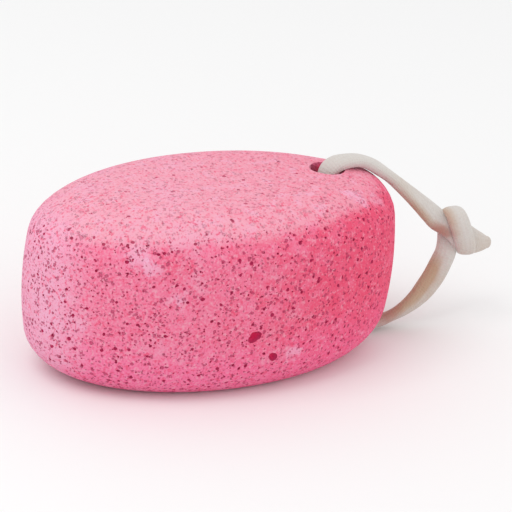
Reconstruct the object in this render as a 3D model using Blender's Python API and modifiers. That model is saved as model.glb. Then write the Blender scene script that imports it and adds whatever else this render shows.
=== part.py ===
"""Oval foot pumice stone, drilled near one end, with a knotted loop of cotton cord through the hole.

The stone lies on its flat underside, its length along X. The origin is under the middle of the stone,
and +Z is up. All sizes are in metres.
"""
import math
import random

import bmesh
import bpy
from mathutils import Vector

MM = 0.001

# The stone
STONE_LENGTH = 95 * MM
STONE_WIDTH = 56 * MM
STONE_HEIGHT = 45 * MM
TOP_ROUND_RUN = 18.5 * MM       # how far the top rounding reaches in from the end
TOP_ROUND_DROP = 10.5 * MM      # and how far it falls
FOOT_ROUND_RUN = 11.5 * MM
FOOT_ROUND_RISE = 10.5 * MM
SIDE_BULGE = 3.2 * MM           # the sides swell by this much at half height
TURN_STEPS = 64
ARC_STEPS = 6
FLAT_RINGS = (0.7, 0.35, 0.0)   # rings of the flat faces, as shares of their edge's radius
WALL_RINGS = (0.75, 0.5, 0.25)  # rings of the side between its two roundings

# The drilled hole, and the channel under the stone that the cord lies in
HOLE_X = 28.0 * MM
HOLE_RADIUS = 3.4 * MM
LIP_X = 29.4 * MM               # the cord has worn the hole's mouth on the side that it bends over
LIP_RADIUS = 4.4 * MM
LIP_FLOOR_RADIUS = 2.0 * MM
LIP_DEPTH = 2.6 * MM
HOLE_STEPS = 24
CHANNEL_WIDTH = 5.0 * MM
CHANNEL_DEPTH = 5.0 * MM
CHANNEL_ROUNDING = 2.2 * MM
CHANNEL_END_X = 52.0 * MM
CHANNEL_TURN = math.radians(-4)
CUTTER_OVERRUN = 3 * MM         # how far a cutter passes the face it opens

# Pits. The two large ones show low on the long front side, and the others here are the darkest around it.
CHOSEN_PITS = (
    # turn around the oval in degrees, height, radius
    (-92, 16.8 * MM, 1.5 * MM),
    (-85, 10.5 * MM, 1.2 * MM),
    (-163, 40.0 * MM, 0.55 * MM),
    (-150, 35.6 * MM, 0.5 * MM),
    (-134, 40.0 * MM, 0.6 * MM),
    (-131, 21.0 * MM, 0.5 * MM),
    (-134, 8.5 * MM, 0.5 * MM),
    (-72, 28.3 * MM, 0.65 * MM),
    (-64, 25.9 * MM, 0.6 * MM),
    (-48, 22.1 * MM, 0.6 * MM),
    (-78, 38.4 * MM, 0.6 * MM),
    (-57, 36.1 * MM, 0.55 * MM),
    (-47, 36.9 * MM, 0.5 * MM),
)
PIT_COUNT = 195
PIT_RADIUS_LEAST = 0.5 * MM
PIT_RADIUS_MOST = 1.0 * MM
PIT_SPACING = 0.8 * MM
PIT_SINK = 0.25                 # share of the radius by which a pit's centre lies outside
PIT_SHARE_ON_TOP = 0.14
PIT_SHARE_BELOW = 0.24
PIT_SEED = 11
REST_PATCH = 15 * MM            # radius around the origin without pits, so that the stone rests flat

# The cord
CORD_RADIUS = 2.0 * MM
CORD_STEP = 5.0 * MM            # between points of the tube, shorter where it bends
CORD_BEND_STEP = 1.4 * MM
SHARP_BEND = math.radians(22)   # a route turning by more than this at a stop takes the shorter step

# The loop's route in millimetres: from the knot over the top, down the hole, under the stone and back
LOOP_ROUTE = (
    (62.2, 0.0, 27.5), (59.4, 0.0, 30.0), (55.6, 0.0, 33.4), (51.2, 0.0, 37.2), (46.6, 0.0, 41.0),
    (42.6, 0.0, 43.8), (39.0, 0.0, 45.7), (36.2, 0.0, 46.6), (33.4, 0.0, 46.8), (31.2, 0.0, 46.1),
    (29.7, 0.0, 44.6), (29.0, 0.0, 42.4), (28.8, 0.0, 39.5), (28.7, 0.0, 30.0), (28.5, 0.0, 18.0),
    (28.4, 0.0, 9.5), (28.4, 0.0, 6.6), (29.4, -0.1, 3.5), (32.1, -0.3, 2.25), (35.4, -0.5, 2.15),
    (40.0, -0.9, 2.15), (45.5, -1.3, 2.2), (49.2, -1.5, 2.9), (53.4, -1.5, 4.5), (57.2, -1.4, 6.9),
    (60.0, -1.2, 9.6), (62.4, -0.9, 12.7), (64.1, -0.7, 16.0), (65.2, -0.6, 18.8),
)
KNOT_BUMPS = (
    # centre in millimetres, radii in millimetres, turn about Y in degrees
    ((67.2, 0.0, 24.4), (4.6, 4.6, 5.2), 10),
    ((66.9, 0.2, 28.5), (2.8, 3.6, 2.7), 0),
    ((64.6, 0.0, 25.6), (2.7, 2.6, 2.6), 0),
    ((70.0, -0.2, 20.4), (3.0, 4.0, 3.8), 0),
)
FRONT_END_ROUTE = ((74.1, -2.0, 21.7), (75.8, -1.8, 20.8), (78.2, -1.6, 19.8))
BACK_END_ROUTE = ((73.5, 2.2, 20.2), (75.3, 2.6, 19.2), (77.4, 3.2, 18.4))

# Colours as linear red, green, blue, with roughness
PINK_STONE = (0.78, 0.17, 0.27), 0.95
CREAM_COTTON = (0.66, 0.58, 0.50), 0.9


def clear_scene():
    """Removes whatever the file holds."""
    for item in list(bpy.data.objects):
        bpy.data.objects.remove(item, do_unlink=True)


def make_collection(name):
    """Adds a collection to the scene."""
    collection = bpy.data.collections.new(name)
    bpy.context.scene.collection.children.link(collection)
    return collection


def make_material(name, finish):
    """A plain Principled material from a colour and a roughness."""
    colour, roughness = finish
    material = bpy.data.materials.new(name)
    material.use_nodes = True
    shader = material.node_tree.nodes["Principled BSDF"]
    shader.inputs["Base Color"].default_value = (*colour, 1.0)
    shader.inputs["Roughness"].default_value = roughness
    shader.inputs["Metallic"].default_value = 0.0
    return material


def add_mesh_object(name, mesh, collection, material=None):
    """Puts a mesh in the scene as a named object."""
    item = bpy.data.objects.new(name, mesh)
    collection.objects.link(item)
    if material:
        mesh.materials.append(material)
    return item


def stone_reach(height):
    """The stone's radius along its length at a height."""
    swell = SIDE_BULGE * (2 * height / STONE_HEIGHT - 1) ** 2
    reach = STONE_LENGTH / 2 - swell
    if height > STONE_HEIGHT - TOP_ROUND_DROP:
        lift = (height - STONE_HEIGHT + TOP_ROUND_DROP) / TOP_ROUND_DROP
        reach -= TOP_ROUND_RUN * (1 - math.sqrt(max(0.0, 1 - lift * lift)))
    if height < FOOT_ROUND_RISE:
        drop = 1 - height / FOOT_ROUND_RISE
        reach -= FOOT_ROUND_RUN * (1 - math.sqrt(max(0.0, 1 - drop * drop)))
    return reach


def stone_profile():
    """Radius and height of the stone's outline, from the middle of the top down to the underside."""
    top_edge = stone_reach(STONE_HEIGHT)
    foot_edge = stone_reach(0.0)
    outline = [(top_edge * share, STONE_HEIGHT) for share in reversed(FLAT_RINGS)]
    heights = []
    for step in range(ARC_STEPS + 1):
        bend = math.pi / 2 * step / ARC_STEPS
        heights.append(STONE_HEIGHT - TOP_ROUND_DROP * (1 - math.cos(bend)))
    wall = STONE_HEIGHT - TOP_ROUND_DROP - FOOT_ROUND_RISE
    heights += [FOOT_ROUND_RISE + wall * share for share in WALL_RINGS]
    for step in range(ARC_STEPS, -1, -1):
        bend = math.pi / 2 * step / ARC_STEPS
        heights.append(FOOT_ROUND_RISE * (1 - math.cos(bend)))
    outline += [(stone_reach(height), height) for height in heights]
    outline += [(foot_edge * share, 0.0) for share in FLAT_RINGS]
    return outline


def turned_mesh(name, outline, steps):
    """A closed mesh turned about Z from an outline given top to bottom."""
    mesh = bpy.data.meshes.new(name)
    points = [(radius, 0.0, height) for radius, height in outline]
    edges = [(index, index + 1) for index in range(len(points) - 1)]
    mesh.from_pydata(points, edges, [])
    turned = bpy.data.objects.new(name, mesh)
    bpy.context.scene.collection.objects.link(turned)
    screw = turned.modifiers.new("Turn", "SCREW")
    screw.steps = steps
    screw.render_steps = steps
    screw.use_merge_vertices = True
    screw.merge_threshold = 0.0001
    bpy.context.view_layer.update()
    depsgraph = bpy.context.evaluated_depsgraph_get()
    solid = bpy.data.meshes.new_from_object(turned.evaluated_get(depsgraph))
    bpy.data.objects.remove(turned, do_unlink=True)
    bpy.data.meshes.remove(mesh)
    solid.name = name
    return solid


def make_stone_body(collection, material):
    """The oval block: a turned profile, narrowed across the width."""
    mesh = turned_mesh("pumice_stone", stone_profile(), TURN_STEPS)
    for vertex in mesh.vertices:
        vertex.co.y *= STONE_WIDTH / STONE_LENGTH
    return add_mesh_object("pumice_stone", mesh, collection, material)


def make_hole_cutter(collection):
    """A drill that reaches through the stone."""
    top = STONE_HEIGHT + CUTTER_OVERRUN
    outline = [(0.0, top), (HOLE_RADIUS, top), (HOLE_RADIUS, -CUTTER_OVERRUN), (0.0, -CUTTER_OVERRUN)]
    cutter = add_mesh_object("hole_cutter", turned_mesh("hole_cutter", outline, HOLE_STEPS), collection)
    cutter.location.x = HOLE_X
    return cutter


def make_lip_cutter(collection):
    """A shallow cone that wears the hole's mouth on one side."""
    top = STONE_HEIGHT + CUTTER_OVERRUN
    outline = [
        (0.0, top), (LIP_RADIUS, top), (LIP_RADIUS, STONE_HEIGHT),
        (LIP_FLOOR_RADIUS, STONE_HEIGHT - LIP_DEPTH), (0.0, STONE_HEIGHT - LIP_DEPTH),
    ]
    cutter = add_mesh_object("lip_cutter", turned_mesh("lip_cutter", outline, HOLE_STEPS), collection)
    cutter.location.x = LIP_X
    return cutter


def make_channel_cutter(collection):
    """A bar with rounded upper edges that cuts the cord's channel from the hole to the end."""
    length = CHANNEL_END_X - HOLE_X
    mesh = bpy.data.meshes.new("channel_cutter")
    form = bmesh.new()
    bmesh.ops.create_cube(form, size=1.0)
    size = (length, CHANNEL_WIDTH, CHANNEL_DEPTH + CUTTER_OVERRUN)
    bmesh.ops.scale(form, vec=size, verts=form.verts)
    lift = (CHANNEL_DEPTH - CUTTER_OVERRUN) / 2
    bmesh.ops.translate(form, vec=(length / 2, 0.0, lift), verts=form.verts)
    top_sides = [
        edge for edge in form.edges
        if all(vertex.co.z > 0 for vertex in edge.verts)
        and edge.verts[0].co.y * edge.verts[1].co.y > 0
    ]
    bmesh.ops.bevel(
        form, geom=top_sides, offset=CHANNEL_ROUNDING, segments=4, profile=0.5, affect="EDGES")
    form.to_mesh(mesh)
    form.free()
    cutter = add_mesh_object("channel_cutter", mesh, collection)
    cutter.location.x = HOLE_X
    cutter.rotation_euler.z = CHANNEL_TURN
    return cutter


def surface_place(turn, height):
    """The point of the stone's side at a turn around the oval and a height."""
    reach = stone_reach(height)
    narrow = STONE_WIDTH / STONE_LENGTH
    return Vector((reach * math.cos(turn), reach * math.sin(turn) * narrow, height))


def surface_normal(turn, height):
    """The outward direction there, from two short steps along the surface."""
    step = 0.02 * MM
    low = max(height - step, 0.0)
    high = min(height + step, STONE_HEIGHT)
    along = surface_place(turn + 0.001, height) - surface_place(turn - 0.001, height)
    up = surface_place(turn, high) - surface_place(turn, low)
    return along.cross(up).normalized()


def random_place(source):
    """A seeded place and its outward direction, spread over the top, the side and the underside."""
    top_edge = stone_reach(STONE_HEIGHT)
    foot_edge = stone_reach(0.0)
    turn = source.uniform(0.0, 2 * math.pi)
    share = source.random()
    if share < PIT_SHARE_ON_TOP:
        edge, height, out = top_edge, STONE_HEIGHT, 1.0
    elif share < PIT_SHARE_ON_TOP + PIT_SHARE_BELOW:
        edge, height, out = foot_edge, 0.0, -1.0
    else:
        height = source.uniform(PIT_RADIUS_LEAST, STONE_HEIGHT - PIT_RADIUS_LEAST)
        return surface_place(turn, height), surface_normal(turn, height)
    radius = edge * math.sqrt(source.random())
    narrow = STONE_WIDTH / STONE_LENGTH
    place = Vector((radius * math.cos(turn), radius * math.sin(turn) * narrow, height))
    return place, Vector((0.0, 0.0, out))


def is_clear(place, radius, taken):
    """Whether a pit leaves the hole, the channel, the rest patch and the other pits alone."""
    spare = radius + PIT_SPACING
    if place.z < REST_PATCH and place.xy.length < REST_PATCH + spare:
        return False
    if math.hypot(place.x - LIP_X, place.y) < LIP_RADIUS + spare:
        return False
    in_channel = place.x > HOLE_X and abs(place.y) < CHANNEL_WIDTH + spare
    if in_channel and place.z < CHANNEL_DEPTH + 2 * spare:
        return False
    return all((place - other).length > size + spare for other, size in taken)


def choose_pits():
    """The chosen pits and the seeded ones, each as place, outward direction and radius."""
    source = random.Random(PIT_SEED)
    pits = []
    taken = []
    for degrees, height, radius in CHOSEN_PITS:
        turn = math.radians(degrees)
        place = surface_place(turn, height)
        pits.append((place, surface_normal(turn, height), radius))
        taken.append((place, radius))
    while len(pits) < PIT_COUNT + len(CHOSEN_PITS):
        place, outward = random_place(source)
        radius = PIT_RADIUS_LEAST + (PIT_RADIUS_MOST - PIT_RADIUS_LEAST) * source.random() ** 2
        if is_clear(place, radius, taken):
            pits.append((place, outward, radius))
            taken.append((place, radius))
    return pits


def make_pit_cutter(collection):
    """All the pits as small balls in one cutter. They never touch each other."""
    mesh = bpy.data.meshes.new("pit_cutter")
    form = bmesh.new()
    for place, outward, radius in choose_pits():
        detail = 2 if radius > PIT_RADIUS_MOST else 1
        ball = bmesh.ops.create_icosphere(form, subdivisions=detail, radius=radius)
        bmesh.ops.translate(form, vec=place + outward * radius * PIT_SINK, verts=ball["verts"])
    form.to_mesh(mesh)
    form.free()
    return add_mesh_object("pit_cutter", mesh, collection)


def cut(body, cutter):
    """Takes a cutter's form out of a body."""
    cutter.hide_render = True
    cutter.display_type = "WIRE"
    boolean = body.modifiers.new(f"Cut {cutter.name}", "BOOLEAN")
    boolean.operation = "DIFFERENCE"
    boolean.solver = "EXACT"
    boolean.object = cutter


def bend_between(before, here, after):
    """How sharply a route turns at a point, in radians."""
    return (here - before).angle(after - here)


def smooth_line(route):
    """Points of a smooth curve through a route given in millimetres, closer together in the bends."""
    stops = [Vector(point) * MM for point in route]
    padded = [2 * stops[0] - stops[1], *stops, 2 * stops[-1] - stops[-2]]
    line = [stops[0]]
    for index in range(len(stops) - 1):
        before, start, end, after = padded[index:index + 4]
        turn = max(bend_between(before, start, end), bend_between(start, end, after))
        spacing = CORD_BEND_STEP if turn > SHARP_BEND else CORD_STEP
        pieces = max(1, round((end - start).length / spacing))
        for piece in range(1, pieces + 1):
            line.append(blend_stops(before, start, end, after, piece / pieces))
    return line


def blend_stops(before, start, end, after, share):
    """A point of the Catmull-Rom curve between two stops."""
    square, cube = share ** 2, share ** 3
    return 0.5 * (
        2 * start
        + (end - before) * share
        + (2 * before - 5 * start + 4 * end - after) * square
        + (3 * start - before - 3 * end + after) * cube
    )


def make_cord(name, route, collection, material):
    """A round cord with flat cut ends along a route."""
    curve = bpy.data.curves.new(name, "CURVE")
    curve.dimensions = "3D"
    curve.bevel_depth = CORD_RADIUS
    curve.bevel_resolution = 2
    curve.use_fill_caps = True
    line = smooth_line(route)
    spline = curve.splines.new("POLY")
    spline.points.add(len(line) - 1)
    for point, place in zip(spline.points, line):
        point.co = (*place, 1.0)
    curve.materials.append(material)
    cord = bpy.data.objects.new(name, curve)
    collection.objects.link(cord)
    return cord


def make_knot(collection, cutters, material):
    """The tied knot as one soft lump: a few rounded bumps joined together."""
    lumps = []
    for index, (centre, radii, degrees) in enumerate(KNOT_BUMPS):
        mesh = bpy.data.meshes.new(f"knot_bump_{index}")
        form = bmesh.new()
        bmesh.ops.create_uvsphere(form, u_segments=20, v_segments=12, radius=1.0)
        form.to_mesh(mesh)
        form.free()
        mesh.shade_smooth()
        is_first = index == 0
        name = "cord_knot" if is_first else mesh.name
        lump = add_mesh_object(name, mesh, collection if is_first else cutters, material)
        lump.scale = Vector(radii) * MM
        lump.rotation_euler.y = math.radians(degrees)
        lump.location = Vector(centre) * MM
        lumps.append(lump)
    knot = lumps[0]
    for lump in lumps[1:]:
        lump.hide_render = True
        lump.display_type = "WIRE"
        union = knot.modifiers.new(f"Join {lump.name}", "BOOLEAN")
        union.operation = "UNION"
        union.solver = "EXACT"
        union.object = lump
    return knot


def main():
    """Builds the stone and its cord."""
    clear_scene()
    parts = make_collection("pumice_stone_with_cord")
    cutters = make_collection("cutters")
    stone_material = make_material("stone", PINK_STONE)
    cord_material = make_material("cord", CREAM_COTTON)

    stone = make_stone_body(parts, stone_material)
    cut(stone, make_hole_cutter(cutters))
    cut(stone, make_lip_cutter(cutters))
    cut(stone, make_channel_cutter(cutters))
    cut(stone, make_pit_cutter(cutters))

    make_cord("cord_loop", LOOP_ROUTE, parts, cord_material)
    make_knot(parts, cutters, cord_material)
    make_cord("cord_end_front", FRONT_END_ROUTE, parts, cord_material)
    make_cord("cord_end_back", BACK_END_ROUTE, parts, cord_material)


main()
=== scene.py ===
"""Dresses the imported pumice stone: a pitted, mottled pink stone on a soft loop of cotton cord.

The file is laid out as a Blender add-on. Run as a script, it builds every piece in turn.
"""
import itertools
import math
import random

import bpy
import numpy as np
from bpy.props import FloatProperty, FloatVectorProperty, IntProperty, PointerProperty
from bpy.types import Operator, Panel, PropertyGroup
from mathutils import Matrix, Quaternion, Vector
from mathutils.bvhtree import BVHTree


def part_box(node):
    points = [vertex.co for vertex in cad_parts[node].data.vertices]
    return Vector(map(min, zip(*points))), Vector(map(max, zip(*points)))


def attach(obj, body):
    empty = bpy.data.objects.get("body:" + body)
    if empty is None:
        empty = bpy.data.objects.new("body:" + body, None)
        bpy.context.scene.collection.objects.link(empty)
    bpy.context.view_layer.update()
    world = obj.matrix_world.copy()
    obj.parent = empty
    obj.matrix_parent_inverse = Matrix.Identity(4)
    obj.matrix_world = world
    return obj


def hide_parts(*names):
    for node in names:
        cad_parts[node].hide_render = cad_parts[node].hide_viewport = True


bl_info = {
    "name": "Pumice Stone With Cord",
    "version": (1, 0, 0),
    "blender": (4, 5, 0),
    "location": "3D View > Sidebar > Pumice",
    "description": "Builds an oval foot pumice stone with a knotted cotton cord",
    "category": "Add Mesh",
}

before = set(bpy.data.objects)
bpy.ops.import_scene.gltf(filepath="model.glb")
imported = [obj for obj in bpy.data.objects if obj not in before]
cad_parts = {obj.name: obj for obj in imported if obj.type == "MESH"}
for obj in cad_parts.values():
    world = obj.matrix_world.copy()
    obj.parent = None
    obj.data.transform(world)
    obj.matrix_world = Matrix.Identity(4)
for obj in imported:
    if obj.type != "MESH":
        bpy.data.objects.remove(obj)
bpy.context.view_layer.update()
STONE_SIZE = [high - low for low, high in zip(*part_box("pumice_stone"))]

MM = 0.001
BODY = "root"
COLOUR = {"subtype": "COLOR", "size": 4}

# The cord as stops from one cut end to the other: place in millimetres, the direction that one flat
# side faces, and the width and thickness there in millimetres. The loop's places are the route of
# the cord's solid. The two strands of the knot carry on from its ends.
FRONT_STRAND = (
    ((76.6, -1.0, 20.2), (-0.3, -1.0, 0.3), 3.2, 2.5),
    ((75.0, -1.0, 20.4), (-0.3, -1.0, 0.3), 4.8, 2.9),
    ((72.2, -1.1, 21.1), (-0.3, -1.0, 0.3), 6.6, 3.1),
    ((69.6, -1.2, 22.3), (-0.3, -1.0, 0.3), 7.2, 2.8),
    ((67.0, -1.3, 24.3), (-0.3, -1.0, 0.3), 5.8, 2.5),
    ((64.6, -0.9, 26.0), (-0.3, -1.0, 0.3), 5.2, 2.6),
)
LOOP = (
    ((62.2, 0.0, 27.5), (-0.2, -1.0, 0.3), 5.5, 2.9),
    ((59.4, 0.0, 30.0), (0.15, -1.0, 0.45), 5.4, 3.0),
    ((55.6, 0.0, 33.4), (0.4, -0.7, 0.55), 5.1, 3.0),
    ((51.2, 0.0, 37.2), (0.5, -0.4, 0.65), 5.0, 2.9),
    ((46.6, 0.0, 41.0), (0.5, -0.15, 0.7), 5.0, 2.8),
    ((42.6, 0.0, 43.8), (0.45, -0.2, 0.8), 5.0, 2.9),
    ((39.0, 0.0, 45.7), (0.35, 0.0, 0.9), 5.0, 2.9),
    ((36.2, 0.0, 46.6), (0.1, 0.0, 1.0), 5.0, 2.9),
    ((33.4, 0.0, 46.8), (-0.2, -0.1, 1.0), 5.0, 3.0),
    ((31.2, 0.0, 46.1), (-0.6, -0.3, 0.8), 5.0, 3.2),
    ((29.7, 0.0, 44.6), (-0.9, -0.5, 0.5), 5.0, 3.3),
    ((29.0, 0.0, 42.4), (-1.0, -0.4, 0.2), 4.8, 3.3),
    ((28.8, 0.0, 39.5), (-1.0, 0.0, 0.0), 4.8, 3.2),
    ((28.7, 0.0, 30.0), (-1.0, 0.0, 0.0), 4.8, 3.2),
    ((28.5, 0.0, 18.0), (-1.0, 0.0, 0.0), 4.8, 3.2),
    ((28.4, 0.0, 9.5), (-1.0, 0.0, 0.0), 4.8, 3.0),
    ((28.4, 0.0, 6.6), (-1.0, 0.0, -0.15), 4.8, 2.9),
    ((29.4, -0.1, 3.5), (-0.75, 0.0, -0.65), 4.6, 2.8),
    ((32.1, -0.3, 2.25), (-0.1, 0.0, -1.0), 4.4, 2.8),
    ((35.4, -0.5, 2.15), (0.0, 0.0, -1.0), 4.4, 2.9),
    ((40.0, -0.9, 2.15), (0.0, 0.0, -1.0), 4.4, 2.9),
    ((45.5, -1.3, 2.2), (0.0, -0.1, -1.0), 4.5, 2.9),
    ((49.2, -1.5, 2.9), (0.0, -0.4, -0.9), 4.8, 2.9),
    ((53.4, -1.5, 4.5), (0.1, -0.8, -0.6), 5.2, 3.0),
    ((57.2, -1.4, 6.9), (0.0, -1.0, -0.3), 5.6, 3.0),
    ((60.0, -1.2, 9.6), (-0.2, -1.0, -0.1), 5.8, 3.0),
    ((62.4, -0.9, 12.7), (-0.3, -1.0, 0.0), 5.8, 3.0),
    ((64.1, -0.7, 16.0), (-0.4, -1.0, 0.1), 5.6, 2.9),
    ((65.2, -0.6, 18.8), (-0.4, -1.0, 0.1), 5.4, 2.8),
)
BACK_STRAND = (
    ((65.9, 0.5, 21.2), (-0.3, -1.0, 0.1), 5.0, 2.6),
    ((66.0, 1.3, 23.6), (-0.2, -1.0, 0.2), 4.8, 2.4),
    ((65.9, 1.6, 25.8), (0.0, -1.0, -0.1), 4.8, 2.4),
    ((65.9, 1.2, 28.0), (0.0, -0.9, -0.5), 5.0, 2.5),
    ((65.9, -0.4, 29.7), (0.0, -0.1, -1.0), 5.4, 2.6),
    ((66.2, -2.1, 29.0), (0.0, 0.7, -0.7), 5.6, 2.7),
    ((67.0, -3.1, 26.7), (0.0, 1.0, -0.2), 5.6, 2.7),
    ((68.1, -3.3, 24.0), (0.0, 1.0, 0.0), 5.4, 2.6),
    ((69.3, -3.0, 21.3), (0.0, 1.0, 0.4), 5.2, 2.5),
    ((70.3, -1.9, 19.2), (0.1, 0.5, 1.0), 4.8, 2.5),
    ((71.6, 0.4, 18.6), (0.1, -0.4, 0.9), 4.2, 2.5),
    ((73.4, 1.4, 19.0), (0.1, -1.0, 0.3), 3.9, 2.5),
    ((74.8, 1.4, 19.3), (0.1, -1.0, 0.1), 3.2, 2.4),
)


class StoneSizes(PropertyGroup):
    """Sizes of the stone, its hole and its fine pits."""

    length: FloatProperty(
        name="Length", description="End to end", default=STONE_SIZE[0], unit="LENGTH")
    width: FloatProperty(
        name="Width", description="Across the middle", default=STONE_SIZE[1], unit="LENGTH")
    height: FloatProperty(
        name="Height", description="Underside to top", default=STONE_SIZE[2], unit="LENGTH")
    top_run: FloatProperty(
        name="Top rounding run", description="How far the top rounding reaches in from the end",
        default=18.5 * MM, unit="LENGTH")
    top_drop: FloatProperty(
        name="Top rounding drop", description="How far the top rounding falls",
        default=10.5 * MM, unit="LENGTH")
    foot_run: FloatProperty(
        name="Foot rounding run", description="How far the lower rounding reaches in from the end",
        default=11.5 * MM, unit="LENGTH")
    foot_rise: FloatProperty(
        name="Foot rounding rise", description="How far the lower rounding rises",
        default=10.5 * MM, unit="LENGTH")
    bulge: FloatProperty(
        name="Side bulge", description="How much the sides swell at half height",
        default=3.2 * MM, unit="LENGTH")
    hole_place: FloatProperty(
        name="Hole place", description="From the middle of the stone to the hole's axis",
        default=28.0 * MM, unit="LENGTH")
    hole_radius: FloatProperty(
        name="Hole radius", description="Radius of the drilled hole", default=3.4 * MM,
        unit="LENGTH")
    small_pits: IntProperty(
        name="Small pits", description="Number of the fine pits over the whole surface",
        default=2600, min=0)
    fine_least: FloatProperty(
        name="Finest pit", description="Radius of the finest pits", default=0.23 * MM,
        unit="LENGTH")
    fine_most: FloatProperty(
        name="Coarsest small pit", description="Radius of the coarsest of the fine pits",
        default=0.52 * MM, unit="LENGTH")


class StoneColours(PropertyGroup):
    """Colours of the stone, linear red, green and blue."""

    pink: FloatVectorProperty(
        name="Pink", description="Main colour of the sides",
        default=(0.86, 0.205, 0.345, 1.0), **COLOUR)
    rose: FloatVectorProperty(
        name="Rose", description="Deeper colour between the pale patches",
        default=(0.79, 0.068, 0.158, 1.0), **COLOUR)
    magenta: FloatVectorProperty(
        name="Magenta", description="Bluer colour of the foot",
        default=(0.95, 0.18, 0.42, 1.0), **COLOUR)
    # Pale: partly the top's own paler colour, partly painted light on the top and the lit far end
    pale: FloatVectorProperty(
        name="Pale", description="Powdery colour of the rubbed top",
        default=(0.85, 0.385, 0.485, 1.0), **COLOUR)
    lavender: FloatVectorProperty(
        name="Lavender", description="Cool pale patches", default=(0.85, 0.43, 0.60, 1.0), **COLOUR)
    pit: FloatVectorProperty(
        name="Pit", description="Colour in the small pits",
        default=(0.47, 0.020, 0.100, 1.0), **COLOUR)
    crimson: FloatVectorProperty(
        name="Crimson", description="Colour deep in the large pits and the hole",
        default=(0.66, 0.007, 0.085, 1.0), **COLOUR)


class CordSizes(PropertyGroup):
    """Sizes of the cord."""

    width: FloatProperty(
        name="Width", description="Across the flat of the cord", default=5.0 * MM, unit="LENGTH")
    braid: FloatProperty(
        name="Braid", description="Length of one crossing of the braid", default=1.3 * MM,
        unit="LENGTH")


class CordColours(PropertyGroup):
    """Colours of the cord, linear red, green and blue."""

    cream: FloatVectorProperty(
        name="Cream", description="Colour of the cotton",
        default=(0.635, 0.60, 0.57, 1.0), **COLOUR)
    # Shade: painted shade, the cotton's colour where it is shaded and takes the stone's reflected
    # colour
    shade: FloatVectorProperty(
        name="Shade", description="Colour of the cotton where it is rubbed and stained",
        default=(0.50, 0.345, 0.235, 1.0), **COLOUR)
    # Red: partly real dye, partly a painted reflection of the pink stone
    red: FloatVectorProperty(
        name="Red", description="Dye from the stone in the corner of the knot",
        default=(0.42, 0.15, 0.11, 1.0), **COLOUR)


class StageSettings(PropertyGroup):
    """Camera and light."""

    turn: FloatProperty(
        name="Turn", description="How far the camera stands round to the stone's left",
        default=math.radians(28.17), subtype="ANGLE")
    rise: FloatProperty(
        name="Rise", description="How far the camera looks down", default=math.radians(23.44),
        subtype="ANGLE")
    roll: FloatProperty(
        name="Roll", description="How far the camera is tipped about its own axis",
        default=math.radians(4.94), subtype="ANGLE")
    distance: FloatProperty(
        name="Distance", description="From the camera to the point it looks at",
        default=602.8 * MM, unit="LENGTH")
    aim_side: FloatProperty(
        name="Aim sideways", description="Point looked at, to the right of the stone's middle",
        default=10.38 * MM, unit="LENGTH")
    aim_height: FloatProperty(
        name="Aim height", description="Height of the point looked at", default=26.2 * MM,
        unit="LENGTH")
    scale: FloatProperty(
        name="Picture scale", description="Pixels to a millimetre at the point looked at",
        default=4.18)


# Modelling helpers

def start_piece():
    """Leaves nothing selected, in object mode."""
    if bpy.context.object and bpy.context.object.mode != "OBJECT":
        bpy.ops.object.mode_set(mode="OBJECT")
    bpy.ops.object.select_all(action="DESELECT")


def added(name):
    """The primitive that was just added, under its own name."""
    item = bpy.context.object
    item.name = name
    item.data.name = name
    return item


def make_active(item):
    """Selects one object alone."""
    start_piece()
    item.select_set(True)
    bpy.context.view_layer.objects.active = item


def apply_modifier(item, kind, **settings):
    """Adds a modifier with its settings and applies it."""
    make_active(item)
    modifier = item.modifiers.new(kind.title(), kind)
    for name, value in settings.items():
        setattr(modifier, name, value)
    bpy.ops.object.modifier_apply(modifier=modifier.name)


def place_in_mesh(item):
    """Puts an object's place, turn and scale in its mesh."""
    make_active(item)
    bpy.ops.object.transform_apply(location=True, rotation=True, scale=True)


def vertex_places(mesh):
    """Vertex places as an array of rows."""
    places = np.empty(len(mesh.vertices) * 3, dtype=np.float64)
    mesh.vertices.foreach_get("co", places)
    return places.reshape(-1, 3)


def set_vertex_places(mesh, places):
    """Writes an array of rows back as vertex places."""
    mesh.vertices.foreach_set("co", np.asarray(places, dtype=np.float32).ravel())
    mesh.update()


def store(item, name, values):
    """Keeps a number, or a row of three, for each vertex, where a material can read it."""
    kind, slot = ("FLOAT", "value") if values.ndim == 1 else ("FLOAT_VECTOR", "vector")
    attribute = item.data.attributes.new(name, kind, "POINT")
    attribute.data.foreach_set(slot, values.astype(np.float32).ravel())


def unit(rows):
    """Rows scaled to length one."""
    return rows / np.linalg.norm(rows, axis=1, keepdims=True)


def way_along(rows):
    """How far along a line of places each one lies."""
    return np.concatenate(([0.0], np.cumsum(np.linalg.norm(np.diff(rows, axis=0), axis=1))))


def nearness(places, spot, reach):
    """1 at a spot, falling off softly over a reach."""
    return np.exp(-(np.linalg.norm(places - spot, axis=-1) / reach) ** 2)


def ramp(values, start, end):
    """Runs evenly from 0 to 1 as values pass from start to end."""
    return np.clip((values - start) / (end - start), 0.0, 1.0)


# Shader helpers

class Signal:
    """A socket of a shader tree that takes Python's arithmetic signs."""

    def __init__(self, finish, socket):
        self.finish = finish
        self.socket = socket

    def sum_with(self, operation, first, second):
        return self.finish.node("ShaderNodeMath", {"operation": operation}, {0: first, 1: second})

    def __add__(self, other):
        return self.sum_with("ADD", self, other)

    def __radd__(self, other):
        return self.sum_with("ADD", other, self)

    def __sub__(self, other):
        return self.sum_with("SUBTRACT", self, other)

    def __rsub__(self, other):
        return self.sum_with("SUBTRACT", other, self)

    def __mul__(self, other):
        return self.sum_with("MULTIPLY", self, other)


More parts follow.
